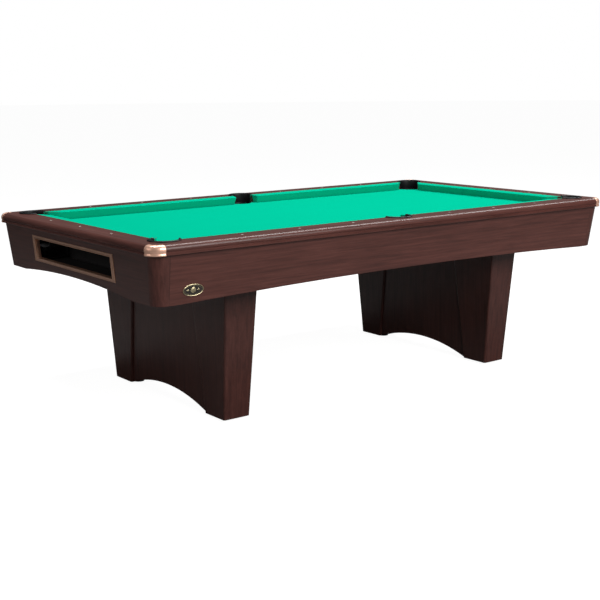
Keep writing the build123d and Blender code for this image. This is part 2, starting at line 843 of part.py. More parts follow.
def pocket_liner(place, radius, mouth):
    """A liner around a pocket: a full tube in the slate, a horseshoe above the bed.

    The mouth is the plan area, left open above the bed, where the balls come in.
    """
    liner_base = slate_bottom - liner_tail
    rail_top = bed_height + rail_height
    with BuildPart() as liner:
        with BuildSketch(Plane.XY.offset(liner_base)):
            with Locations(place):
                Circle(radius + liner_wall)
        extrude(amount=rail_top - liner_base)
        with BuildSketch(Plane.XY.offset(rail_top)):
            with Locations(place):
                Circle(radius + liner_rim_width)
        extrude(amount=liner_rim_thickness)
        fillet(liner.faces().sort_by(Axis.Z)[-1].edges(), liner_rim_round)
        with BuildSketch(Plane.XY.offset(liner_base)):
            with Locations(place):
                Circle(radius)
        extrude(amount=rail_top + liner_rim_thickness - liner_base, mode=Mode.SUBTRACT)
        with BuildSketch(Plane.XY.offset(slate_top - liner_clearance)):
            add(mouth)
        extrude(amount=rail_height + 2 * liner_rim_thickness, mode=Mode.SUBTRACT)
    return liner.part


# Both mouths stop just behind the cushions' feather lines
mouth_back = cushion_width + liner_clearance
with BuildSketch() as corner_mouth_area:
    with Locations((play_length / 2 + mouth_back, play_width / 2 + mouth_back)):
        Rectangle(rail_width + mouth_back, rail_width + mouth_back, align=Align.MAX)
with BuildSketch() as side_mouth_area:
    with Locations((0, play_width / 2 + mouth_back)):
        Rectangle(2 * side_mouth, rail_width + mouth_back, align=(Align.CENTER, Align.MAX))

corner_liner = pocket_liner(corner_pocket_place, corner_pocket_radius, corner_mouth_area.sketch)
side_liner = pocket_liner((0, side_pocket_place), side_pocket_radius, side_mouth_area.sketch)
for corner, (sign_x, sign_y) in CORNERS.items():
    with BuildPart() as liner:
        add(to_corner(corner_liner, sign_x, sign_y))
    save(liner, f"pocket_liner_{corner}")
for side, sign in (("front", -1), ("rear", 1)):
    with BuildPart() as liner:
        add(to_corner(side_liner, 1, sign))
    save(liner, f"pocket_liner_{side}")

# ---------------------------------------------------------------------------
# Ball gutters and return box
# ---------------------------------------------------------------------------


def gutter_piece():
    """The rear gutter: a long run down to the left end, then a chute to the box."""
    wall_top = gutter_wall_height
    with BuildPart() as gutter:
        with BuildSketch(Plane.XZ.offset(-gutter_inside)):
            with BuildLine():
                Polyline(
                    (-gutter_half, gutter_floor_low - gutter_wall),
                    (gutter_half, gutter_floor_high - gutter_wall),
                    (gutter_half, gutter_floor_high + wall_top),
                    (-gutter_half, gutter_floor_low + wall_top),
                    close=True,
                )
            make_face()
        extrude(amount=-(gutter_width + 2 * gutter_wall))
        with BuildSketch(Plane.YZ.offset(-gutter_half)):
            with BuildLine():
                Polyline(
                    (box_half, chute_exit_height - gutter_wall),
                    (gutter_centre, gutter_floor_low - gutter_wall),
                    (gutter_centre, gutter_floor_low + wall_top),
                    (box_half, chute_exit_height + wall_top),
                    close=True,
                )
            make_face()
        extrude(amount=chute_width + 2 * gutter_wall)
        # Hollow both runs out
        with BuildSketch(Plane.XZ.offset(-(gutter_centre - gutter_half_width))):
            with BuildLine():
                Polyline(
                    (-gutter_end, gutter_floor_low),
                    (gutter_end, gutter_floor_high),
                    (gutter_end, slate_bottom),
                    (-gutter_end, slate_bottom),
                    close=True,
                )
            make_face()
        extrude(amount=-gutter_width, mode=Mode.SUBTRACT)
        with BuildSketch(Plane.YZ.offset(-gutter_end)):
            with BuildLine():
                Polyline(
                    (box_half, chute_exit_height),
                    (gutter_centre, gutter_floor_low),
                    (gutter_centre, slate_bottom),
                    (box_half, slate_bottom),
                    close=True,
                )
            make_face()
        extrude(amount=chute_width, mode=Mode.SUBTRACT)
    return gutter.part


rear_gutter = gutter_piece()
for side, sign in (("front", -1), ("rear", 1)):
    with BuildPart() as gutter:
        add(to_corner(rear_gutter, 1, sign))
    save(gutter, f"gutter_{side}")

# The box has a floor and a back wall; the end panel closes its front below the window
box_base = box_floor_height - box_wall
box_front = cabinet_half_length(box_base, panel_thickness) - box_clearance
with BuildPart() as ball_box:
    with BuildSketch(Plane.XZ.offset(-box_half - box_lap)):
        with BuildLine():
            Polyline(
                (-box_front, box_base),
                (-box_back, box_base),
                (-box_back, box_top),
                (-box_back - box_wall, box_top),
                (-box_back - box_wall, box_floor_height),
                (-box_front, box_floor_height),
                close=True,
            )
        make_face()
    extrude(amount=2 * (box_half + box_lap))
save(ball_box, "ball_box")

# ---------------------------------------------------------------------------
# Pedestals
# ---------------------------------------------------------------------------

leg_height = cabinet_bottom - leg_bottom


def leg_size(height):
    """Column thickness, inner face and outer face at a height."""
    share = (height - leg_bottom) / leg_height
    thickness = leg_base_thickness + share * (leg_top_thickness - leg_base_thickness)
    inner = leg_base_inner + share * (leg_top_inner - leg_base_inner)
    outer = leg_base_outer + share * (leg_top_outer - leg_base_outer)
    return thickness, inner, outer


def leg_column():
    """The rear right column: tapered, rounded edges, hollow above its foot block."""
    with BuildPart() as column:
        for height in (leg_bottom, cabinet_bottom):
            thickness, inner, outer = leg_size(height)
            with BuildSketch(Plane.XY.offset(height)):
                with Locations((pedestal_place, (inner + outer) / 2)):
                    RectangleRounded(thickness, outer - inner, leg_edge_radius)
        loft(ruled=True)
        for height in (leg_bottom + leg_foot_block, cabinet_bottom):
            thickness, inner, outer = leg_size(height)
            with BuildSketch(Plane.XY.offset(height)):
                with Locations((pedestal_place, (inner + outer) / 2)):
                    Rectangle(thickness - 2 * leg_wall, outer - inner - 2 * leg_wall)
        loft(ruled=True, mode=Mode.SUBTRACT)
        # Well for the levelling foot's insert and stud
        with BuildSketch(Plane.XY.offset(leg_bottom)):
            with Locations((pedestal_place, foot_place)):
                Circle(insert_radius)
        extrude(amount=insert_length, mode=Mode.SUBTRACT)
        with BuildSketch(Plane.XY.offset(leg_bottom)):
            with Locations((pedestal_place, foot_place)):
                Circle(stud_radius + stud_well_clearance)
        extrude(amount=stud_height + stud_well - leg_bottom, mode=Mode.SUBTRACT)
        # Holes for the leg bolts
        with BuildSketch(Plane.XY.offset(cabinet_bottom)):
            with Locations(*[place for place in leg_bolt_places if place[0] > 0 and place[1] > 0]):
                Circle(leg_bolt_radius)
        extrude(amount=-leg_bolt_grip, mode=Mode.SUBTRACT)
    return column.part


rear_right_column = leg_column()
for corner, (sign_x, sign_y) in CORNERS.items():
    with BuildPart() as column:
        add(to_corner(rear_right_column, sign_x, sign_y))
    save(column, f"leg_column_{corner}")

arch_top = leg_bottom + arch_rise
for side, sign in (("left", -1), ("right", 1)):
    with BuildPart() as leg_panel:
        for height in (leg_bottom, cabinet_bottom):
            thickness, inner, outer = leg_size(height)
            with BuildSketch(Plane.XY.offset(height)):
                with Locations((sign * pedestal_place, 0)):
                    Rectangle(thickness - 2 * panel_recess, 2 * inner)
        loft(ruled=True)
        for height in (arch_top + panel_web, cabinet_bottom):
            thickness, inner, outer = leg_size(height)
            width = thickness - 2 * (panel_recess + leg_wall)
            with BuildSketch(Plane.XY.offset(height)):
                with Locations((sign * pedestal_place, 0)):
                    Rectangle(width, 2 * (inner - leg_wall))
        loft(ruled=True, mode=Mode.SUBTRACT)
        with BuildSketch(Plane.YZ.offset(sign * pedestal_place)):
            with BuildLine():
                ThreePointArc((-arch_half, leg_bottom), (0, arch_top), (arch_half, leg_bottom))
                Line((arch_half, leg_bottom), (-arch_half, leg_bottom))
            make_face()
        extrude(amount=leg_top_thickness, both=True, mode=Mode.SUBTRACT)
    save(leg_panel, f"leg_panel_{side}")

# Plates between the pedestals and the cross beams
with BuildPart() as leg_plates:
    with BuildSketch(Plane.XY.offset(cabinet_bottom)):
        with Locations((-pedestal_place, 0), (pedestal_place, 0)):
            Rectangle(leg_top_thickness, 2 * leg_top_outer)
        with Locations(*leg_bolt_places):
            Circle(leg_bolt_radius, mode=Mode.SUBTRACT)
    extrude(amount=leg_plate_thickness)
save(leg_plates, "leg_plates")

with BuildPart() as leg_bolts:
    with BuildSketch(Plane.XY.offset(beam_top)):
        with Locations(*leg_bolt_places):
            RegularPolygon(leg_bolt_head_radius, 6)
    extrude(amount=leg_bolt_head_height)
    with BuildSketch(Plane.XY.offset(cabinet_bottom - leg_bolt_grip)):
        with Locations(*leg_bolt_places):
            Circle(leg_bolt_radius)
    extrude(amount=beam_top - cabinet_bottom + leg_bolt_grip)
save(leg_bolts, "leg_bolts")

# ---------------------------------------------------------------------------
# Levelling feet
# ---------------------------------------------------------------------------

foot_places = [(sx * pedestal_place, sy * foot_place) for sx, sy in CORNERS.values()]

with BuildPart() as foot_inserts:
    with BuildSketch(Plane.XY.offset(leg_bottom - insert_flange_thickness)):
        with Locations(*foot_places):
            Circle(insert_flange_radius)
    extrude(amount=insert_flange_thickness)
    with BuildSketch(Plane.XY.offset(leg_bottom)):
        with Locations(*foot_places):
            Circle(insert_radius)
    extrude(amount=insert_length)
    with BuildSketch(Plane.XY.offset(leg_bottom - insert_flange_thickness)):
        with Locations(*foot_places):
            Circle(stud_radius + stud_clearance)
    extrude(amount=insert_length + insert_flange_thickness, mode=Mode.SUBTRACT)
save(foot_inserts, "foot_inserts")

for (corner, signs), place in zip(CORNERS.items(), foot_places):
    # Pad with a captive socket, so that the stud turns in it and the pad doesn't turn
    with BuildPart() as foot_pad:
        with BuildSketch(Plane.XY):
            with Locations(place):
                Circle(pad_radius)
        extrude(amount=pad_height)
        chamfer(foot_pad.faces().sort_by(Axis.Z)[-1].edges(), pad_chamfer)
        with BuildSketch(Plane.XY.offset(pad_floor)):
            with Locations(place):
                Circle(collar_radius + stud_clearance)
        extrude(amount=pad_cavity_height, mode=Mode.SUBTRACT)
        with BuildSketch(Plane.XY.offset(pad_floor)):
            with Locations(place):
                Circle(stud_radius + stud_clearance)
        extrude(amount=pad_height, mode=Mode.SUBTRACT)
    save(foot_pad, f"foot_pad_{corner}")

    with BuildPart() as foot_stud:
        with BuildSketch(Plane.XY.offset(pad_floor)):
            with Locations(place):
                Circle(stud_radius)
        extrude(amount=stud_height - pad_floor)
        with BuildSketch(Plane.XY.offset(pad_floor)):
            with Locations(place):
                Circle(collar_radius)
        extrude(amount=collar_height)
    save(foot_stud, f"foot_stud_{corner}")
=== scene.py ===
from math import acos, asin, atan2, cos, pi, radians, sin, tan

import bmesh
import bpy
from bpy.props import FloatProperty, FloatVectorProperty, PointerProperty
from mathutils import Matrix, Vector


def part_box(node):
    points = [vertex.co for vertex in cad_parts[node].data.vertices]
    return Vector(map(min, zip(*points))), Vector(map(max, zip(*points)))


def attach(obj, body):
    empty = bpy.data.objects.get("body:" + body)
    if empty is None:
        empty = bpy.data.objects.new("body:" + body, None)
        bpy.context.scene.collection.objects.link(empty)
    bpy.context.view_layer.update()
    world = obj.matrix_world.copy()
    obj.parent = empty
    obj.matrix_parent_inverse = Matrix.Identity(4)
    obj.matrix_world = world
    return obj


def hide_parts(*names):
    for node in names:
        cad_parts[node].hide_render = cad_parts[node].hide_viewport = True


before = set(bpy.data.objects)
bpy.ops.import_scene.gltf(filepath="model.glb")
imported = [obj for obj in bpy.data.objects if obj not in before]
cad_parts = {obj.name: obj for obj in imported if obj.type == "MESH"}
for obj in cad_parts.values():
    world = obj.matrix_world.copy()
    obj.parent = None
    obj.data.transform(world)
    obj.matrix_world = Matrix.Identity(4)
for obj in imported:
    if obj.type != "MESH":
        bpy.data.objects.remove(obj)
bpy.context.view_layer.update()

bl_info = {
    "name": "Pool table",
    "version": (1, 0, 0),
    "blender": (4, 5, 0),
    "location": "View3D > Sidebar > Pool table",
    "description": "Cushions, cloth, pockets, caps and finishes for an eight-foot pool table",
    "category": "Object",
}

UP = Vector((0, 0, 1))
OUTWARD = {
    "front": Vector((0, -1, 0)),
    "rear": Vector((0, 1, 0)),
    "left": Vector((-1, 0, 0)),
    "right": Vector((1, 0, 0)),
}
CORNERS = {
    "front_left": (-1, -1),
    "front_right": (1, -1),
    "rear_left": (-1, 1),
    "rear_right": (1, 1),
}

# Heights and outlines read from the frame
BED_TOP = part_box("bed_cloth")[1].z
SLATE_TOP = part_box("slate_centre")[1].z
RAIL_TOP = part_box("rail_front")[1].z
CLOTH_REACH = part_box("cushion_cloths")[1]
BED_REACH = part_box("bed_cloth")[1]
LINER_BASE, LINER_TOP = (corner.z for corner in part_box("pocket_liner_front"))

# How finely round shapes are cut
POCKET_STEPS = 72
RIM_STEPS = 64
CAP_STEPS = 32
BULGE_STEPS = 10
CUSHION_STEPS = 24
NOSE_STEPS = 7
ROLL_STEPS = 5
BOLT_HOLE_STEPS = 12
SIGHT_STEPS = 28
OVAL_STEPS = 64
BALL_STEPS = 36
FLOOR_STEPS = 64

WHITE = (1, 1, 1)
HAIR = 0.0003  # clearance between the cloth and what it meets
BOLT_HOLE_RADIUS = 0.0062


# ---------------------------------------------------------------------------
# Sizes and colours that a user can change
# ---------------------------------------------------------------------------


def length(name, description, default):
    return FloatProperty(
        name=name, description=description, default=default, min=0, unit="LENGTH"
    )


def angle(name, description, degrees):
    return FloatProperty(
        name=name,
        description=description,
        default=radians(degrees),
        unit="ROTATION",
        subtype="ANGLE",
    )


def colour(name, description, default):
    return FloatVectorProperty(
        name=name,
        description=description,
        default=default,
        size=3,
        min=0,
        max=1,
        subtype="COLOR",
    )


class PoolTableSizes(bpy.types.PropertyGroup):
    """Sizes of the cushions, cloth, pockets and trim"""

    cushion_width: length("Cushion width", "Nose to the feather line", 0.049)
    nose_height: length("Nose height", "Bed to the cushion's nose", 0.037)
    nose_overhang: length("Nose overhang", "Nose beyond the foot of its face", 0.012)
    nose_radius: length("Nose radius", "Round on the cushion's nose", 0.003)
    corner_mouth: length("Corner mouth", "Between the noses at a corner pocket", 0.115)
    side_mouth: length("Side mouth", "Between the noses at a side pocket", 0.128)
    corner_cut: angle("Corner cut", "Nose line to a corner pocket's facing", 142)
    side_cut: angle("Side cut", "Nose line to a side pocket's facing", 104)
    facing_undercut: angle("Facing undercut", "Lean of a pocket facing", 13)
    facing_round: length("Facing round", "Round where cloth turns into a pocket", 0.003)
    cloth_gauge: length("Cloth gauge", "Thickness of the cloth", 0.0008)
    cloth_roll: length("Cloth roll", "Round of the bed cloth into a pocket", 0.0013)
    corner_radius: length("Corner pocket radius", "Inside a corner liner", 0.054)
    side_radius: length("Side pocket radius", "Inside a side liner", 0.052)
    liner_wall: length("Liner wall", "Wall of a pocket liner", 0.004)
    liner_rim: length("Liner rim", "Width of a liner's rim", 0.012)
    cap_radius: length("Cap radius", "Outer radius of a corner cap", 0.0606)
    cap_width: length("Cap width", "Cap's top, in plan", 0.0246)
    cap_wall: length("Cap wall", "Thickness of a corner cap", 0.0035)
    trim_side: length("Trim side", "Window trim at each end", 0.022)
    trim_band: length("Trim band", "Window trim above and below", 0.014)
    sight_radius: length("Sight radius", "Rail sight", 0.0055)


class PoolTableColours(bpy.types.PropertyGroup):
    """Colours of the cloth, laminate, trim and rubber"""

    cloth: colour("Cloth", "Bed and cushion cloth", (0.0006, 0.330, 0.196))
    grain_dark: colour("Dark grain", "Darkest streaks of the laminate", (0.023, 0.0078, 0.0060))
    grain_mid: colour("Mid grain", "Ground of the laminate", (0.050, 0.0165, 0.0130))
    grain_light: colour("Light grain", "Palest streaks of the laminate", (0.078, 0.0275, 0.0215))
    copper: colour("Copper", "Corner caps", (0.96, 0.58, 0.43))
    # The trim is the same copper as the caps, set darker here as painted shade for the shaded end
    # it sits on
    trim: colour("Trim copper", "Window trim", (0.68, 0.40, 0.28))
    rubber: colour("Rubber", "Pocket liners", (0.004, 0.004, 0.005))
    pearl: colour("Pearl", "Rail sights", (0.86, 0.84, 0.76))
    brass: colour("Brass", "Name plate", (0.66, 0.58, 0.36))


# ---------------------------------------------------------------------------
# Material making
# ---------------------------------------------------------------------------

# The axis that a laminate's grain runs along
ALONG, ACROSS, UPRIGHT = 0, 1, 2

# Noise scales along X, Y and Z, for polishing lines and for grain
POLISH_UPRIGHT = (40.0, 40.0, 900.0)
POLISH_ALONG = (900.0, 30.0, 900.0)
SLATE_GRAIN = (14.0, 30.0, 30.0)
WOOD_GRAIN = (6.0, 60.0, 60.0)

LACQUER = {"Coat Weight": 0.1, "Coat Roughness": 0.25}
PEARL_COAT = {"Coat Weight": 0.5, "Coat Roughness": 0.08}


def per_axis(scale):
    """A scale for each axis, from one number or three."""
    return tuple(scale) if hasattr(scale, "__len__") else (scale, scale, scale)


class Number:
    """A number in a recipe. Arithmetic on it adds Math nodes."""

    def __init__(self, recipe, socket):
        self.recipe = recipe
        self.socket = socket

    def __add__(self, other):
        return self.recipe.math("ADD", self, other)

    def __radd__(self, other):
        return self.recipe.math("ADD", other, self)

    def __sub__(self, other):
        return self.recipe.math("SUBTRACT", self, other)

    def __rsub__(self, other):
        return self.recipe.math("SUBTRACT", other, self)

    def __mul__(self, other):
        return self.recipe.math("MULTIPLY", self, other)

    def __rmul__(self, other):
        return self.recipe.math("MULTIPLY", other, self)

    def __lt__(self, other):
        return self.recipe.math("LESS_THAN", self, other)

    def __abs__(self):
        return self.recipe.math("ABSOLUTE", self)

    def clamped(self):
        """The number held between 0 and 1."""
        return self.recipe.math("MULTIPLY", self, 1.0, use_clamp=True)


class Graph:
    """A node tree in which every new node is made by add()."""

    def __init__(self, tree):
        self.nodes = tree.nodes
        self.links = tree.links

    def feed(self, node, sockets):
        """Link or set each socket of a node."""
        for key, value in sockets.items():
            socket = node.inputs[key]
            if isinstance(value, Number):
                value = value.socket
            if isinstance(value, bpy.types.NodeSocket):
                self.links.new(value, socket)
                continue
            if socket.type == "RGBA" and hasattr(value, "__len__") and len(value) == 3:
                value = (*value, 1)
            socket.default_value = value

    def add(self, kind, settings=None, sockets=None):
        """A new node, from its type, its settings and its sockets."""
        node = self.nodes.new(kind)
        for key, value in (settings or {}).items():
            if key == "stops":
                ramp = node.color_ramp
                while len(ramp.elements) < len(value):
                    ramp.elements.new(0.5)
                for stop, (place, tint) in zip(ramp.elements, value):
                    stop.position = place
                    stop.color = (*tint, 1)
            else:
                setattr(node, key, value)
        self.feed(node, sockets or {})
        return node


class Recipe(Graph):
    """A material's nodes, around one Principled shader."""

    def __init__(self, name, **finish):
        self.material = bpy.data.materials.new(name)
        self.material.use_nodes = True
        super().__init__(self.material.node_tree)
        self.shader = self.nodes["Principled BSDF"]
        self.feed(self.shader, finish)

    def math(self, operation, first, second=0.0, **settings):
        """A number worked out from one or two others."""
        settings["operation"] = operation
        node = self.add("ShaderNodeMath", settings, {0: first, 1: second})
        return Number(self, node.outputs[0])

    def place(self):
        """Object coordinates."""
        return self.add("ShaderNodeTexCoord").outputs["Object"]

    def axis(self, name):
        """One object coordinate as a number."""
        node = self.add("ShaderNodeSeparateXYZ", {}, {"Vector": self.place()})
        return Number(self, node.outputs[name])

    def noise(self, scale, detail=2.0, roughness=0.5, distortion=0.0):
        """Noise over the object; scale is one number, or one for each axis."""
        spot = self.add(
            "ShaderNodeMapping", {}, {"Vector": self.place(), "Scale": per_axis(scale)}
        )
        sockets = {
            "Vector": spot.outputs[0],
            "Scale": 1.0,
            "Detail": detail,
            "Roughness": roughness,
            "Distortion": distortion,
        }
        return Number(self, self.add("ShaderNodeTexNoise", {}, sockets).outputs[0])

    def waves(self, direction, period):
        """Bands along one direction, period apart."""
        settings = {"wave_type": "BANDS", "bands_direction": direction}
        scale = 2 * pi / (20 * period)  # a wave texture turns through 20 radians a unit
        node = self.add("ShaderNodeTexWave", settings, {"Vector": self.place(), "Scale": scale})
        return Number(self, node.outputs["Fac"])

    def cells(self, scale):
        """Distance to the nearest of scattered soft cells."""
        settings = {"feature": "SMOOTH_F1"}
        sockets = {"Vector": self.place(), "Scale": scale, "Smoothness": 0.4}
        return Number(self, self.add("ShaderNodeTexVoronoi", settings, sockets).outputs["Distance"])

    def ramp(self, value, *stops):
        """A colour read off a ramp of places and tints."""
        return self.add("ShaderNodeValToRGB", {"stops": stops}, {"Fac": value}).outputs["Color"]

    def mix(self, share, first, second):
        """A colour between two others; sockets 6 and 7 are the colour inputs."""
        node = self.add("ShaderNodeMix", {"data_type": "RGBA"}, {0: share, 6: first, 7: second})
        return node.outputs[2]

    def finish(self, tint, roughness, height=None, strength=0.2, depth=0.0005, **others):
        """Feed the shader, and return the material."""
        sockets = {"Base Color": tint, "Roughness": roughness, **others}
        if height is not None:
            relief = {"Strength": strength, "Distance": depth, "Height": height}
            sockets["Normal"] = self.add("ShaderNodeBump", {}, relief).outputs["Normal"]
        self.feed(self.shader, sockets)
        return self.material


def shade(tint, share):
    """A tint made lighter or darker by a share."""
    return tuple(share * channel for channel in tint)


def laminate(name, run, colours, share=1.0, joints=None):
    """Woodgrain laminate, its grain along the axis run; share brightens it as painted light."""
    recipe = Recipe(name, **{"Specular IOR Level": 0.36})

    def stretched(along, across):
        scale = [across, across, across]
        scale[run] = along
        return scale

    drift = recipe.noise(stretched(0.8, 5.0), detail=2.0)
    figure = recipe.noise(stretched(3.4, 95.0), detail=5.0, roughness=0.68, distortion=0.5)
    fibre = recipe.noise(stretched(9.0, 620.0), detail=2.0, roughness=0.6)
    tone = figure * 0.62 + drift * 0.16 + fibre * 0.22
    # share lightens the whole laminate: painted light, making lit copies of one finish
    tint = recipe.ramp(
        tone,
        (0.34, shade(colours.grain_dark, share)),
        (0.50, shade(colours.grain_mid, share)),
        (0.68, shade(colours.grain_light, share)),
    )
    pores = ((fibre - 0.58) * 5.0).clamped()
    tint = recipe.mix(pores * 0.55, tint, shade(colours.grain_dark, 0.7))
    if joints:
        # Dark hairline where a post meets the panels beside it
        line_width = 0.0011
        near_side = abs(recipe.axis("X")) < joints[0] + line_width
        near_end = abs(recipe.axis("Y")) < joints[1] + line_width
        line = (near_side + near_end).clamped()
        tint = recipe.mix(line * 0.8, tint, shade(colours.grain_dark, 0.2))
    roughness = 0.26 + fibre * 0.14
    return recipe.finish(tint, roughness, fibre, strength=0.14, depth=0.0004)


def baize(name, tint, direction="X"):
    """Napped worsted cloth, with a fine twill."""
    sheen = {"Sheen Weight": 0.05, "Sheen Roughness": 0.5, "Sheen Tint": (0.0, 1.0, 0.75)}
    recipe = Recipe(name, **sheen, **{"Specular IOR Level": 0.0})
    nap = recipe.noise(620.0, detail=3.0, roughness=0.65)
    brushed = recipe.noise((5.0, 16.0, 16.0), detail=3.0)
    twill = recipe.waves("DIAGONAL", 0.0011) * 0.5 + recipe.waves(direction, 0.0007) * 0.5
    body = recipe.mix(nap * 0.35 + brushed * 0.25, shade(tint, 0.93), shade(tint, 1.08))
    body = recipe.mix(twill * 0.10, body, shade(tint, 0.82))
    weave = twill * 0.6 + nap * 0.7
    return recipe.finish(body, 0.86 + nap * 0.12, weave, strength=0.22, depth=0.0003)


def moulded_rubber(name, tint):
    """Black moulded rubber with a fine leather-like grain."""
    recipe = Recipe(name, **{"Specular IOR Level": 0.22})
    grain = recipe.cells(420.0)
    bloom = recipe.noise(26.0, detail=4.0)
    body = recipe.mix(bloom * 0.6, shade(tint, 0.7), shade(tint, 1.9))
    return recipe.finish(body, 0.38 + bloom * 0.18, grain, strength=0.25, depth=0.0004)


def plated(name, tint, low, high, polish=POLISH_UPRIGHT, metal=1.0):
    """Satin plating, its roughness from low to high, with polishing lines and tarnish."""
    recipe = Recipe(name, **{"Metallic": metal}, **LACQUER)
    lines = recipe.noise(polish, detail=2.0)
    tarnish = recipe.noise(34.0, detail=5.0, roughness=0.6)
    body = recipe.mix((tarnish - 0.35) * 1.4, shade(tint, 0.80), shade(tint, 1.0))
    roughness = low + (high - low) * (lines * 0.5 + tarnish * 0.5)
    return recipe.finish(body, roughness, lines, strength=0.05, depth=0.0002)


def mottled(name, dark, light, scale, roughness, strength=0.2, coat=None):
    """A plain material with mottled colour and a fine surface."""
    recipe = Recipe(name, **(coat or {}))
    mottle = recipe.noise(scale, detail=4.0, roughness=0.6)
    fine = recipe.noise([9 * step for step in per_axis(scale)], detail=2.0)
    tint = recipe.ramp(mottle, (0.30, dark), (0.70, light))
    roughness = roughness + (fine - 0.5) * 0.16
    return recipe.finish(tint, roughness, fine, strength=strength, depth=0.0004)


FINISHES = {}


def finish_named(name, context):
    """One of the table's materials, made on first use."""
    if name in FINISHES:
        return FINISHES[name]
    colours = context.scene.pool_table_colours
    cloth, copper, trim = tuple(colours.cloth), tuple(colours.copper), tuple(colours.trim)
    pearl = tuple(colours.pearl)
    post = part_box("cabinet_side_front")[1].x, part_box("cabinet_end_right")[1].y
    # Each maker is followed by what it takes after the name:
    # a laminate's grain axis, colours and brightness (painted light); a plating's tint, least
    # and most roughness, polish and share of metal; a mottled finish's two tints, noise
    # scale, roughness, relief and coat
    makers = {
        # Painted light: the same laminate is made lighter on the rails (1.5, 1.6) and cabinet (1.25
        # to 1.35) than on the pedestals (1), standing in for light the lamps don't give
        "rail_along": (laminate, ALONG, colours, 1.5),
        "rail_across": (laminate, ACROSS, colours, 1.6),
        "laminate_along": (laminate, ALONG, colours, 1.35),
        "laminate_across": (laminate, ACROSS, colours, 1.25),
        "laminate_upright": (laminate, UPRIGHT, colours),
        "laminate_posts": (laminate, UPRIGHT, colours, 1.35, post),
        "bed_baize": (baize, cloth),
        "cushion_baize": (baize, cloth, "Y"),
        "liner_rubber": (moulded_rubber, tuple(colours.rubber)),
        "copper_plate": (plated, copper, 0.30, 0.44, POLISH_UPRIGHT, 0.62),
        # The trim's darker copper is painted shade
        "trim_plate": (plated, trim, 0.28, 0.42, POLISH_ALONG, 0.8),
        "plate_brass": (plated, tuple(colours.brass), 0.25, 0.45),
        "zinc_plate": (plated, (0.62, 0.62, 0.60), 0.30, 0.45),
        "enamel": (mottled, (0.012, 0.010, 0.009), (0.024, 0.018, 0.015), 60.0, 0.25, 0.05),
        "pearl": (mottled, shade(pearl, 0.86), pearl, 300.0, 0.16, 0.04, PEARL_COAT),
        "honed_slate": (mottled, (0.035, 0.040, 0.046), (0.075, 0.082, 0.090), SLATE_GRAIN, 0.62),
        "sawn_wood": (mottled, (0.34, 0.22, 0.12), (0.56, 0.41, 0.25), WOOD_GRAIN, 0.72),
        # Black board as painted shade: the wooden ball box is made black so the window's inside
        # looks dark
        "black_board": (mottled, (0.006, 0.006, 0.007), (0.014, 0.014, 0.015), 45.0, 0.8),
        "black_plastic": (mottled, (0.010, 0.010, 0.010), (0.022, 0.022, 0.023), 120.0, 0.45),
        "gum_rubber": (mottled, (0.030, 0.028, 0.025), (0.060, 0.052, 0.045), 80.0, 0.7),
    }
    make, *details = makers[name]
    FINISHES[name] = make(name, *details)
    return FINISHES[name]


# ---------------------------------------------------------------------------
# Mesh making
# ---------------------------------------------------------------------------


def piece_from(name, form, finishes, smooth=35, round_edges=0.0):
    """Turn a bmesh into a piece that rides on the table."""
    mesh = bpy.data.meshes.new(name)
    form.to_mesh(mesh)
    form.free()
    piece = bpy.data.objects.new(name, mesh)
    bpy.context.scene.collection.objects.link(piece)
    if round_edges > 0:
        bevel = piece.modifiers.new("round", "BEVEL")
        bevel.width = round_edges
        bevel.segments = 2
        bevel.limit_method = "ANGLE"
        bevel.angle_limit = radians(28)
        bevel.use_clamp_overlap = True
        graph = bpy.context.evaluated_depsgraph_get()
        rounded = bpy.data.meshes.new_from_object(piece.evaluated_get(graph))
        piece.modifiers.clear()
        piece.data = rounded
        rounded.name = name
        bpy.data.meshes.remove(mesh)
    # Clearing the materials resets each face's finish, so it is kept and put back
    worn = [face.material_index for face in piece.data.polygons]
    piece.data.materials.clear()
    for finish in finishes:
        piece.data.materials.append(finish)
    last = len(finishes) - 1
    piece.data.polygons.foreach_set("material_index", [min(one, last) for one in worn])
    piece.data.shade_smooth()
    piece.data.set_sharp_from_angle(angle=radians(smooth))
    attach(piece, "table")
    return piece


def skin(form, rings, loop=True, caps=False, finish=0):
    """Faces between closed rings of points. loop joins the last ring to the first."""
    rows = [[form.verts.new(point) for point in ring] for ring in rings]
    count = len(rows[0])
    pairs = list(zip(rows, rows[1:])) + ([(rows[-1], rows[0])] if loop else [])
    for one, two in pairs:
        for place in range(count):
            after = (place + 1) % count
            face = form.faces.new((one[place], one[after], two[after], two[place]))
            face.material_index = finish
    if caps:
        form.faces.new(list(reversed(rows[0]))).material_index = finish
        form.faces.new(rows[-1]).material_index = finish
    return rows


def outside_out(form):
    """Turn every face's normal outward."""
    bmesh.ops.recalc_face_normals(form, faces=form.faces)


def arc(centre, start, stop, steps):
    """Points on a plane arc between two points around a centre, both included."""
    centre, start, stop = Vector(centre), Vector(start), Vector(stop)
    first, last = start - centre, stop - centre
    sweep = first.angle_signed(last)
    turn = [Matrix.Rotation(-sweep * step / steps, 2) for step in range(steps + 1)]
    return [tuple(centre + one @ first) for one in turn]


def circle(centre, radius, height, steps):
    """Points around a level circle."""
    turns = [2 * pi * step / steps for step in range(steps)]
    return [
        Vector((centre.x + radius * cos(turn), centre.y + radius * sin(turn), height))
        for turn in turns
    ]


def in_from_corner(node, signs, reach):
    """The point, in plan, that lies reach inside one corner of a node's box."""
    low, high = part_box(node)
    x = high.x - reach if signs[0] > 0 else low.x + reach
    y = high.y - reach if signs[1] > 0 else low.y + reach
    return Vector((x, y, 0))


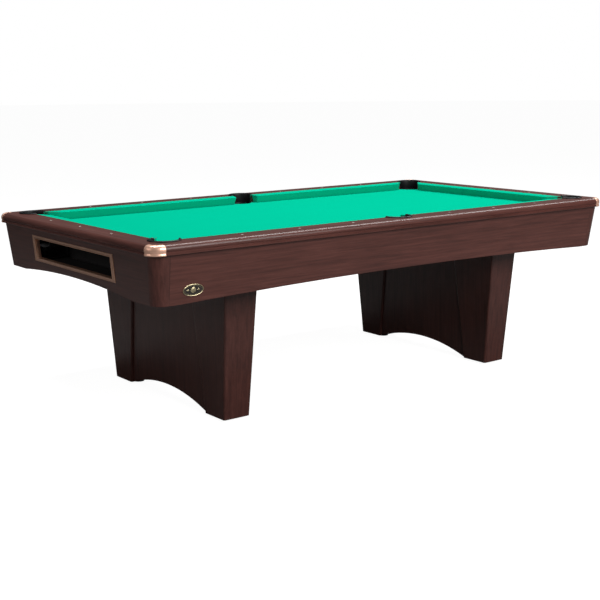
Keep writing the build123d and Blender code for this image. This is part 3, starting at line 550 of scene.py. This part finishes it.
def islands(node):
    """Centres, in plan, of the separate solids in a CAD node."""
    form = bmesh.new()
    form.from_mesh(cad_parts[node].data)
    bmesh.ops.remove_doubles(form, verts=form.verts, dist=0.00001)
    left, centres = set(form.verts), []
    while left:
        group, edge = set(), [next(iter(left))]
        while edge:
            vert = edge.pop()
            if vert not in group:
                group.add(vert)
                edge += [link.other_vert(vert) for link in vert.link_edges]
        left -= group
        xs, ys = [v.co.x for v in group], [v.co.y for v in group]
        centres.append(Vector(((min(xs) + max(xs)) / 2, (min(ys) + max(ys)) / 2, 0)))
    form.free()
    return sorted(centres, key=lambda spot: (round(spot.x, 4), round(spot.y, 4)))


def leaning_face(panel, side):
    """A leaning panel's lean, and the directions out of and up its outer face."""
    foot, crest = (corner.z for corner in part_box(panel))
    outward, near = OUTWARD[side], 0.0005
    spots = [vert.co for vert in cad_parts[panel].data.vertices]
    at_foot = max(spot.dot(outward) for spot in spots if spot.z < foot + near)
    at_crest = max(spot.dot(outward) for spot in spots if spot.z > crest - near)
    lean = atan2(at_crest - at_foot, crest - foot)
    out = outward * cos(lean) - UP * sin(lean)
    rise = outward * sin(lean) + UP * cos(lean)
    return lean, out, rise


# ---------------------------------------------------------------------------
# Cushions and cloth
# ---------------------------------------------------------------------------


def nose_corner(sizes):
    """Where the nose lines of two rails meet, in plan, at the table's plus corner."""
    return CLOTH_REACH - Vector((1, 1, 0)) * sizes.cushion_width


def at_rail(side, along, setback, height):
    """A point by a rail: along it, out from the nose line, and above the bed."""
    outward = OUTWARD[side]
    nose = nose_corner(bpy.context.scene.pool_table_sizes)
    reach = nose.x if outward.x else nose.y
    return outward * (reach + setback) + outward.cross(UP) * along + UP * (BED_TOP + height)


def cushion_section(sizes, inset):
    """A cushion's outline from the feather line over the nose to its foot and back."""
    width, high = sizes.cushion_width, RAIL_TOP - BED_TOP
    slope = (high - sizes.nose_height) / width
    face = Vector((sizes.nose_overhang, -sizes.nose_height))
    # Shift both lines inward by the inset, and find where they meet
    lean = face.x / -face.y
    across = inset * (1 + lean * lean) ** 0.5
    nose_x = (across + lean * inset) / (1 + lean * slope)
    nose = Vector((nose_x, sizes.nose_height + slope * nose_x - inset))
    top = Vector((1, slope)).normalized()
    down = face.normalized()
    half = top.angle(down) / 2
    radius = sizes.nose_radius - inset
    reach = radius / tan(half)
    centre = nose + (top + down).normalized() * (radius / sin(half))
    bend = arc(centre, nose + top * reach, nose + down * reach, NOSE_STEPS)
    # The top is crowned a little between the feather line and the nose
    crown, back = 0.0004, width - inset
    tops = []
    for share in (0.97, 0.8, 0.6, 0.4, 0.25):
        setback = nose_x + (back - nose_x) * share
        bow = crown * sin(pi * share)
        tops.append((setback, sizes.nose_height + slope * setback - inset + bow))
    # The cloth turns down over the feather line
    edge = [(back, high - inset - 0.0012), (back - 0.0004, high - inset - HAIR)]
    foot = [(sizes.nose_overhang + across, HAIR), (back, HAIR)]
    return edge + tops + bend + foot


def cushion_ends(sizes):
    """Each cushion: its rail, and its two nose ends with their flares."""
    nose = nose_corner(sizes)
    setback = sizes.corner_mouth / 2**0.5
    corner, middle = tan(sizes.corner_cut - pi / 2), tan(sizes.side_cut - pi / 2)
    far, near, end = nose.x - setback, sizes.side_mouth / 2, nose.y - setback
    return {
        "front_left": ("front", (near, middle), (far, corner)),
        "front_right": ("front", (-far, corner), (-near, middle)),
        "rear_left": ("rear", (-far, corner), (-near, middle)),
        "rear_right": ("rear", (near, middle), (far, corner)),
        "left": ("left", (-end, corner), (end, corner)),
        "right": ("right", (-end, corner), (end, corner)),
    }


def cushion_form(sizes, side, start, stop, inset):
    """A cushion's closed shape; its back and underside have finish 1."""
    form = bmesh.new()
    rings = []
    for step in range(CUSHION_STEPS + 1):
        ring = []
        for setback, height in cushion_section(sizes, inset):
            undercut = (RAIL_TOP - BED_TOP - height) * tan(sizes.facing_undercut)
            low = start[0] - start[1] * setback + undercut + inset
            high = stop[0] + stop[1] * setback - undercut - inset
            along = low + (high - low) * step / CUSHION_STEPS
            ring.append(at_rail(side, along, setback, height))
        rings.append(ring)
    skin(form, rings, loop=False, caps=True)
    outside_out(form)
    form.normal_update()
    backs = {OUTWARD[side].to_tuple(2), (0.0, 0.0, -1.0)}
    for face in form.faces:
        if face.normal.to_tuple(2) in backs:
            face.material_index = 1
    return form


class POOLTABLE_OT_cushions(bpy.types.Operator):
    """Make the six cushions, each a rubber core in a stretched cloth cover"""

    bl_idname = "pool_table.cushions"
    bl_label = "Cushions"

    def execute(self, context):
        sizes = context.scene.pool_table_sizes
        # The core stays clear of the cover by more than the cloth's gauge
        core_inset = sizes.cloth_gauge + 0.0004
        for name, (side, start, stop) in cushion_ends(sizes).items():
            core = piece_from(
                f"cushion_core_{name}",
                cushion_form(sizes, side, start, stop, core_inset),
                [finish_named("gum_rubber", context)],
                round_edges=0.001,
            )
            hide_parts(f"cushion_{name}")

            form = cushion_form(sizes, side, start, stop, 0.0)
            ends = [face for face in form.faces if len(face.verts) > 4]
            rims = [
                edge for face in ends for edge in face.edges
                if not any(other.material_index for other in edge.link_faces)
            ]
            bmesh.ops.bevel(
                form, geom=rims, offset=sizes.facing_round, segments=3, affect="EDGES",
                clamp_overlap=True, material=0,
            )
            hidden = [face for face in form.faces if face.material_index]
            bmesh.ops.delete(form, geom=hidden, context="FACES")
            area = sum(face.calc_area() for face in form.faces)
            cover = piece_from(
                f"cushion_cover_{name}",
                form,
                [finish_named("cushion_baize", context)],
                smooth=50,
            )
            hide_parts("cushion_cloths")
            long = max(cover.dimensions)
            round(area / long, 4)
        return {"FINISHED"}


def pocket_places(sizes):
    """Each pocket's centre and inner radius."""
    places = {}
    for name, signs in {**CORNERS, "front": (0, -1), "rear": (0, 1)}.items():
        radius = sizes.corner_radius if signs[0] else sizes.side_radius
        centre = in_from_corner(f"pocket_liner_{name}", signs, radius + sizes.liner_rim)
        if not signs[0]:
            centre.x = 0
        places[name] = (centre, radius)
    return places


class POOLTABLE_OT_bed_cloth(bpy.types.Operator):
    """Stretch the bed cloth over the slate and roll its edge into the pockets"""

    bl_idname = "pool_table.bed_cloth"
    bl_label = "Bed cloth"

    def execute(self, context):
        sizes = context.scene.pool_table_sizes
        form = bmesh.new()

        def border_of(verts):
            pairs = zip(verts, verts[1:] + verts[:1])
            return [form.edges.get(pair) or form.edges.new(pair) for pair in pairs]

        corners = [(-1, -1), (1, -1), (1, 1), (-1, 1)]
        border = border_of(
            [form.verts.new((BED_REACH.x * x, BED_REACH.y * y, BED_TOP)) for x, y in corners]
        )
        roll, drop = sizes.cloth_roll, BED_TOP - SLATE_TOP
        margin = 0.004
        for centre, radius in pocket_places(sizes).values():
            inner = radius + sizes.liner_wall
            rings = [circle(centre, inner + roll + margin, BED_TOP, POCKET_STEPS)]
            for step in range(ROLL_STEPS + 1):
                turn = pi / 2 * step / ROLL_STEPS
                spread = inner + roll * (1 - sin(turn))
                height = BED_TOP - roll * (1 - cos(turn))
                rings.append(circle(centre, spread, height, POCKET_STEPS))
            rings.append(circle(centre, inner, BED_TOP - roll - drop * 0.2, POCKET_STEPS))
            border += border_of(skin(form, rings, loop=False)[0])
        for hole in islands("rail_bolts"):
            ring = circle(hole, BOLT_HOLE_RADIUS, BED_TOP, BOLT_HOLE_STEPS)
            border += border_of([form.verts.new(point) for point in ring])
        bmesh.ops.triangle_fill(form, use_beauty=True, edges=border, normal=UP)
        form.normal_update()
        flipped = [face for face in form.faces if face.normal.z < -0.001]
        bmesh.ops.reverse_faces(form, faces=flipped)
        area = sum(face.calc_area() for face in form.faces)
        piece = piece_from(
            "bed_baize_sheet", form, [finish_named("bed_baize", context)], smooth=60
        )
        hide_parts("bed_cloth")
        return {"FINISHED"}


# ---------------------------------------------------------------------------
# Pockets
# ---------------------------------------------------------------------------


class POOLTABLE_OT_pockets(bpy.types.Operator):
    """Mould the six pocket liners, each a tube in the slate under a horseshoe rim"""

    bl_idname = "pool_table.pockets"
    bl_label = "Pocket liners"

    def execute(self, context):
        sizes = context.scene.pool_table_sizes
        wall, rim = sizes.liner_wall, sizes.liner_rim
        low, seat, top = SLATE_TOP - 0.0005, RAIL_TOP + 0.0002, LINER_TOP
        # Radius beyond the pocket's own, and height, round the horseshoe's section
        horseshoe = [
            (0, low),
            (0, seat - 0.004),
            (0.0004, seat + 0.0012),
            (0.0014, top - 0.0022),
            (0.0034, top - 0.0006),
            (rim * 0.5, top),
            (rim - 0.0034, top - 0.0006),
            (rim - 0.0010, top - 0.0022),
            (rim, top - 0.0042),
            (rim - 0.0006, seat),
            (wall, seat),
            (wall, low),
        ]
        tube = [
            (0, LINER_BASE),
            (wall, LINER_BASE),
            (wall, low - 0.0001),
            (0.0008, low - 0.0001),
            (0, low - 0.001),
        ]
        mouth = CLOTH_REACH + Vector((0.0005, 0.0005, 0))
        for name, (centre, radius) in pocket_places(sizes).items():
            section = [(radius + beyond, height) for beyond, height in horseshoe]
            gap_x, gap_y = mouth.x - abs(centre.x), abs(centre.y) - mouth.y
            if name in CORNERS:
                sign_x, sign_y = CORNERS[name]
                spans = [(-acos(gap_x / r), pi - asin(-gap_y / r)) for r, _ in section]
            else:
                sign_x, sign_y = 1, -1 if name == "front" else 1
                spans = [(-asin(gap_y / r), pi + asin(gap_y / r)) for r, _ in section]
            rings = []
            for step in range(RIM_STEPS + 1):
                ring = []
                for (r, z), (start, stop) in zip(section, spans):
                    turn = start + (stop - start) * step / RIM_STEPS
                    outward = Vector((sign_x * cos(turn), sign_y * sin(turn), 0))
                    ring.append(centre + outward * r + UP * z)
                rings.append(ring)
            form = bmesh.new()
            skin(form, rings, loop=False, caps=True)
            rings = []
            for step in range(POCKET_STEPS):
                turn = 2 * pi * step / POCKET_STEPS
                outward = Vector((cos(turn), sin(turn), 0))
                rings.append([centre + outward * (radius + beyond) + UP * z for beyond, z in tube])
            skin(form, rings)
            outside_out(form)
            piece = piece_from(
                f"pocket_{name}",
                form,
                [finish_named("liner_rubber", context)],
                smooth=42,
                round_edges=0.0009,
            )
            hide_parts(f"pocket_liner_{name}")
        return {"FINISHED"}


# ---------------------------------------------------------------------------
# Caps, sights and trim
# ---------------------------------------------------------------------------


def cap_section(sizes, top, bottom):
    """A corner cap's section: its radius and height, down the outside and up the inside."""
    radius, wall, bulge = sizes.cap_radius, sizes.cap_wall, 0.019
    inner = radius - sizes.cap_width
    section = [(inner, top - 0.0002), (inner + 0.0006, top)]
    for step in range(BULGE_STEPS + 1):
        turn = pi / 2 * step / BULGE_STEPS
        section.append((radius - bulge + bulge * sin(turn), top - bulge * (1 - cos(turn))))
    # A soft groove, then a plain lip
    for depth, fall in (
        (0, 0.0240),
        (0.0006, 0.0262),
        (0.0015, 0.0284),
        (0.0020, 0.0306),
        (0.0018, 0.0330),
        (0.0008, 0.0350),
        (0, 0.0368),
    ):
        section.append((radius - depth, top - fall))
    section += [
        (radius, bottom + 0.0018),
        (radius - 0.0004, bottom + 0.0008),
        (radius - 0.0014, bottom),
    ]
    # Inside, following the rail's edge
    section += [
        (radius - wall, bottom),
        (radius - wall - 0.0032, top - 0.0345),
        (radius - wall - 0.0032, top - 0.0255),
        (radius - wall, top - 0.0190),
        (radius - wall - 0.006, top - wall - 0.004),
        (inner, top - wall),
    ]
    return section


class POOLTABLE_OT_caps(bpy.types.Operator):
    """Cast the four copper corner caps, which follow the rail's edge shape"""

    bl_idname = "pool_table.caps"
    bl_label = "Corner caps"

    def execute(self, context):
        sizes = context.scene.pool_table_sizes
        for name, signs in CORNERS.items():
            low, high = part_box(f"corner_cap_{name}")
            centre = in_from_corner(f"corner_cap_{name}", signs, sizes.cap_radius)
            section = cap_section(sizes, high.z, low.z)
            rings = []
            for step in range(CAP_STEPS + 1):
                turn = pi / 2 * step / CAP_STEPS
                outward = Vector((signs[0] * cos(turn), signs[1] * sin(turn), 0))
                rings.append([centre + outward * r + UP * z for r, z in section])
            form = bmesh.new()
            skin(form, rings, loop=False, caps=True)
            outside_out(form)
            piece = piece_from(
                f"cap_{name}",
                form,
                [finish_named("copper_plate", context)],
                smooth=40,
                round_edges=0.0005,
            )
            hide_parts(f"corner_cap_{name}")
        return {"FINISHED"}


class POOLTABLE_OT_sights(bpy.types.Operator):
    """Set the pearl sights into the rails"""

    bl_idname = "pool_table.sights"
    bl_label = "Rail sights"

    def execute(self, context):
        radius = context.scene.pool_table_sizes.sight_radius
        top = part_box("rail_sights")[1].z
        section = [
            (radius, top - 0.0022),
            (radius, top - 0.00025),
            (radius - 0.0003, top - 0.0001),
            (radius * 0.7, top - 0.00002),
            (radius * 0.35, top),
        ]
        form = bmesh.new()
        for spot in islands("rail_sights"):
            rings = [circle(spot, r, z, SIGHT_STEPS) for r, z in section]
            form.faces.new(skin(form, rings, loop=False)[-1])
        outside_out(form)
        piece = piece_from("sight_inlays", form, [finish_named("pearl", context)])
        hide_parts("rail_sights")
        return {"FINISHED"}


class POOLTABLE_OT_window_trim(bpy.types.Operator):
    """Frame the ball-return window with a moulded copper trim"""

    bl_idname = "pool_table.window_trim"
    bl_label = "Window trim"

    def execute(self, context):
        sizes = context.scene.pool_table_sizes
        low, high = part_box("return_trim")
        foot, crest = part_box("cabinet_end_left")
        lean, out, rise = leaning_face("cabinet_end_left", "left")
        middle_z = ((low + high) / 2).z
        origin = Vector((foot.x + tan(lean) * (crest.z - middle_z), 0, middle_z))
        half_wide = (high.y - low.y) / 2 - sizes.trim_side
        half_high = (high.z - low.z) / 2 / cos(lean) - sizes.trim_band
        # Share of the trim's width, from the opening outward, and how far it stands out
        section = [
            (0.0, -0.0195), (0.0, 0.0028), (0.05, 0.0038), (0.16, 0.0040), (0.27, 0.0036),
            (0.34, 0.0024), (0.42, 0.0020), (0.70, 0.0020), (0.78, 0.0026), (0.86, 0.0030),
            (0.94, 0.0026), (1.0, 0.0012), (1.0, 0.0),
        ]
        rings = []
        for share, stand in section:
            wide = half_wide + sizes.trim_side * share
            tall = half_high + sizes.trim_band * share
            rings.append([
                origin + out * stand + Vector((0, wide * y, 0)) + rise * (tall * z)
                for y, z in ((-1, -1), (1, -1), (1, 1), (-1, 1))
            ])
        form = bmesh.new()
        skin(form, rings, loop=False)
        form.normal_update()
        outside_out(form)
        front = max(form.faces, key=lambda face: face.calc_center_median().dot(out))
        if front.normal.dot(out) < 0:
            bmesh.ops.reverse_faces(form, faces=form.faces)
        piece = piece_from(
            "window_trim",
            form,
            [finish_named("trim_plate", context)],
            smooth=30,
            round_edges=0.0003,
        )
        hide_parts("return_trim")
        return {"FINISHED"}


class POOLTABLE_OT_name_plate(bpy.types.Operator):
    """Make the plain oval plate: a ball between two diamonds on dark enamel"""

    bl_idname = "pool_table.name_plate"
    bl_label = "Name plate"

    def execute(self, context):
        low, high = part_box("name_plate")
        lean, out, rise = leaning_face("cabinet_side_front", "front")
        across, thick = Vector((1, 0, 0)), 0.003
        middle = (low + high) / 2 - out * thick / 2
        half_wide, half_high = (high.x - low.x) / 2, (high.z - low.z) / 2 / cos(lean) - 0.0002
        form = bmesh.new()

        def oval(inset, stand):
            ring = circle(Vector((0, 0, 0)), 1, 0, OVAL_STEPS)
            wide, tall = half_wide - inset, half_high - inset
            return [middle + across * wide * p.x + rise * tall * p.y + out * stand for p in ring]

        def band(*steps, **settings):
            """Faces between ovals, each given by its inset and how far it stands out."""
            return skin(form, [oval(*step) for step in steps], loop=False, **settings)

        def raised(points, place, stand, bevel):
            """A low block on the field, its top drawn in by the bevel."""
            spot = middle + across * place
            rings = [
                [spot + (across * x + rise * y) * share + out * height for x, y in points]
                for share, height in ((1, field), (1 - bevel, stand))
            ]
            form.faces.new(skin(form, rings, loop=False)[-1])

        field = 0.0017
        edge = 0.0032
        rim = ((0, 0), (0, 0.0016), (0.0006, 0.0026), (0.0016, 0.003), (0.0026, 0.0026))
        band(*rim, (edge, field))
        rows = band((edge, field), (0.008, 0.0018), (0.014, 0.0019), (0.0195, 0.0019), finish=1)
        form.faces.new(rows[-1]).material_index = 1
        band((0.0062, field), (0.0064, 0.0023), (0.0070, 0.0023), (0.0072, field))
        raised_parts = [
            ([(-0.007, 0), (0, -0.0042), (0.007, 0), (0, 0.0042)], place, 0.0026, 0.35)
            for place in (-0.024, 0.024)
        ]
        for radius, stand, bevel in ((0.0115, 0.0022, 0.06), (0.0080, 0.0029, 0.25)):
            disc = circle(Vector((0, 0, 0)), radius, 0, BALL_STEPS)
            raised_parts.append(([(p.x, p.y) for p in disc], 0, stand, bevel))
        for points, place, stand, bevel in raised_parts:
            raised(points, place, stand, bevel)
        form.normal_update()
        for face in form.faces:
            if face.normal.dot(out) < -0.01:
                face.normal_flip()
        piece = piece_from(
            "plain_plate",
            form,
            [finish_named("plate_brass", context), finish_named("enamel", context)],
            smooth=40,
        )
        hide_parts("name_plate")
        return {"FINISHED"}


# ---------------------------------------------------------------------------
# Finishes on the parts that keep their own shape
# ---------------------------------------------------------------------------

CARRIED = {
    "rail_along": ["rail_front", "rail_rear"],
    "rail_across": ["rail_left", "rail_right"],
    "laminate_along": ["cabinet_side_front", "cabinet_side_rear"],
    "laminate_across": ["cabinet_end_left", "cabinet_end_right"],
    "laminate_posts": [f"corner_post_{corner}" for corner in CORNERS],
    "laminate_upright": [
        "leg_panel_left",
        "leg_panel_right",
        *[f"leg_column_{corner}" for corner in CORNERS],
    ],
    "sawn_wood": ["cross_beams", "long_beams", "leg_plates"],
    "honed_slate": ["slate_left", "slate_centre", "slate_right"],
    "zinc_plate": [
        "slate_screws",
        "rail_bolts",
        "leg_bolts",
        "foot_inserts",
        *[f"foot_stud_{corner}" for corner in CORNERS],
    ],
    "black_plastic": [
        "gutter_front",
        "gutter_rear",
        *[f"foot_pad_{corner}" for corner in CORNERS],
    ],
    # The ball box is made black as painted shade, for the dark inside seen through the window
    "black_board": ["ball_box"],
}


class POOLTABLE_OT_finishes(bpy.types.Operator):
    """Give the cabinet, rails, pedestals, frame and feet their finishes"""

    bl_idname = "pool_table.finishes"
    bl_label = "Finishes"

    def execute(self, context):
        for finish, nodes in CARRIED.items():
            material = finish_named(finish, context)
            for node in nodes:
                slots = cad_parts[node].material_slots
                for slot in slots:
                    slot.material = material
                if not slots:
                    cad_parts[node].data.materials.append(material)
        return {"FINISHED"}


# ---------------------------------------------------------------------------
# Stage
# ---------------------------------------------------------------------------


def softbox(name, spot, target, size, watts, tint=WHITE):
    """A rectangular lamp that shines from a spot towards a target."""
    light = bpy.data.lights.new(name, "AREA")
    light.shape = "RECTANGLE"
    light.size, light.size_y = size
    light.energy = watts
    light.color = tint
    lamp = bpy.data.objects.new(name, light)
    lamp.location = spot
    lamp.rotation_euler = (Vector(target) - Vector(spot)).to_track_quat("-Z", "Y").to_euler()
    bpy.context.scene.collection.objects.link(lamp)


class POOLTABLE_OT_stage(bpy.types.Operator):
    """Lay a plain pale floor, light it softly and set the camera"""

    bl_idname = "pool_table.stage"
    bl_label = "Stage"

    def execute(self, context):
        self.lay_floor()
        self.light_room(context.scene)
        self.set_camera(context.scene)
        return {"FINISHED"}

    def lay_floor(self):
        form = bmesh.new()
        middle = Vector((0, 0, 0))
        rings = [circle(middle, radius, 0.0, FLOOR_STEPS) for radius in (0.5, 2, 6, 20, 60)]
        form.faces.new(skin(form, rings, loop=False)[0])
        form.normal_update()
        for face in form.faces:
            if face.normal.z < 0:
                face.normal_flip()
        mesh = bpy.data.meshes.new("floor")
        form.to_mesh(mesh)
        form.free()
        floor = bpy.data.objects.new("floor", mesh)
        bpy.context.scene.collection.objects.link(floor)
        # The paper glows to the eye only, so that it throws no light on the table
        recipe = Recipe("floor_paper", **{"Specular IOR Level": 0.0, "Emission Strength": 0.96})
        speckle = recipe.noise(3.0, detail=2.0)
        seen = recipe.add("ShaderNodeLightPath").outputs["Is Camera Ray"]
        glow = recipe.mix(seen, (0, 0, 0), WHITE)
        tint = recipe.mix(speckle, shade(WHITE, 0.20), shade(WHITE, 0.22))
        mesh.materials.append(recipe.finish(tint, 0.9, **{"Emission Color": glow}))

    def light_room(self, scene):
        """A white backdrop for the eye, a dim room for the light, and three soft lamps."""
        scene.world = bpy.data.worlds.new("studio")
        scene.world.use_nodes = True
        graph = Graph(scene.world.node_tree)
        room = graph.nodes["Background"]
        graph.feed(room, {"Color": WHITE, "Strength": 0.08})
        white = {"Color": WHITE, "Strength": 1.0}
        backdrop = graph.add("ShaderNodeBackground", {}, white).outputs[0]
        seen = graph.add("ShaderNodeLightPath").outputs["Is Camera Ray"]
        choice = graph.add("ShaderNodeMixShader", {}, {0: seen, 1: room.outputs[0], 2: backdrop})
        graph.feed(graph.nodes["World Output"], {"Surface": choice.outputs[0]})
        scene.view_settings.view_transform = "Standard"

        softbox("key", (0.4, -5.6, 3.5), (0.0, 0, 0.7), (5.6, 2.6), 450, (1.0, 0.975, 0.96))
        softbox("overhead", (1.6, 0.33, 4.3), (1.6, 0.34, 0), (8.0, 0.9), 330)
        softbox("fill", (-6.2, 0.4, 2.6), (-0.6, 0, 0.75), (3.0, 2.4), 42, (1.0, 0.93, 0.90))

    def set_camera(self, scene):
        camera = bpy.data.cameras.new("camera")
        camera.sensor_width = 36.0
        camera.lens = 68.92
        camera.shift_x = -0.0422
        camera.clip_end = 200.0
        spot = (-3.3157, -4.3837, 1.4214)
        yaw, pitch, roll = radians(37.715), radians(-11.038), radians(-0.477)
        ahead = Vector((sin(yaw) * cos(pitch), cos(yaw) * cos(pitch), sin(pitch)))
        right = Vector((cos(yaw), -sin(yaw), 0))
        above = right.cross(ahead)
        turned = right * cos(roll) + above * sin(roll), above * cos(roll) - right * sin(roll)
        eye = bpy.data.objects.new("camera", camera)
        facing = Matrix((*turned, -ahead)).transposed().to_4x4()
        eye.matrix_world = Matrix.Translation(spot) @ facing
        scene.collection.objects.link(eye)
        scene.camera = eye


class POOLTABLE_PT_panel(bpy.types.Panel):
    """The pool table's pieces, sizes and colours"""

    bl_label = "Pool table"
    bl_idname = "POOLTABLE_PT_panel"
    bl_space_type = "VIEW_3D"
    bl_region_type = "UI"
    bl_category = "Pool table"

    def draw(self, context):
        for operator in OPERATORS:
            self.layout.operator(operator.bl_idname)
        for group in (context.scene.pool_table_sizes, context.scene.pool_table_colours):
            for name in group.__annotations__:
                self.layout.prop(group, name)


OPERATORS = (
    POOLTABLE_OT_stage,
    POOLTABLE_OT_finishes,
    POOLTABLE_OT_cushions,
    POOLTABLE_OT_bed_cloth,
    POOLTABLE_OT_pockets,
    POOLTABLE_OT_caps,
    POOLTABLE_OT_sights,
    POOLTABLE_OT_window_trim,
    POOLTABLE_OT_name_plate,
)
CLASSES = (PoolTableSizes, PoolTableColours, *OPERATORS, POOLTABLE_PT_panel)


def register():
    for one in CLASSES:
        bpy.utils.register_class(one)
    bpy.types.Scene.pool_table_sizes = PointerProperty(type=PoolTableSizes)
    bpy.types.Scene.pool_table_colours = PointerProperty(type=PoolTableColours)


def unregister():
    del bpy.types.Scene.pool_table_colours
    del bpy.types.Scene.pool_table_sizes
    for one in reversed(CLASSES):
        bpy.utils.unregister_class(one)


def main():
    register()
    for operator in OPERATORS:
        getattr(bpy.ops.pool_table, operator.bl_idname.split(".")[1])()


if __name__ == "__main__":
    main()
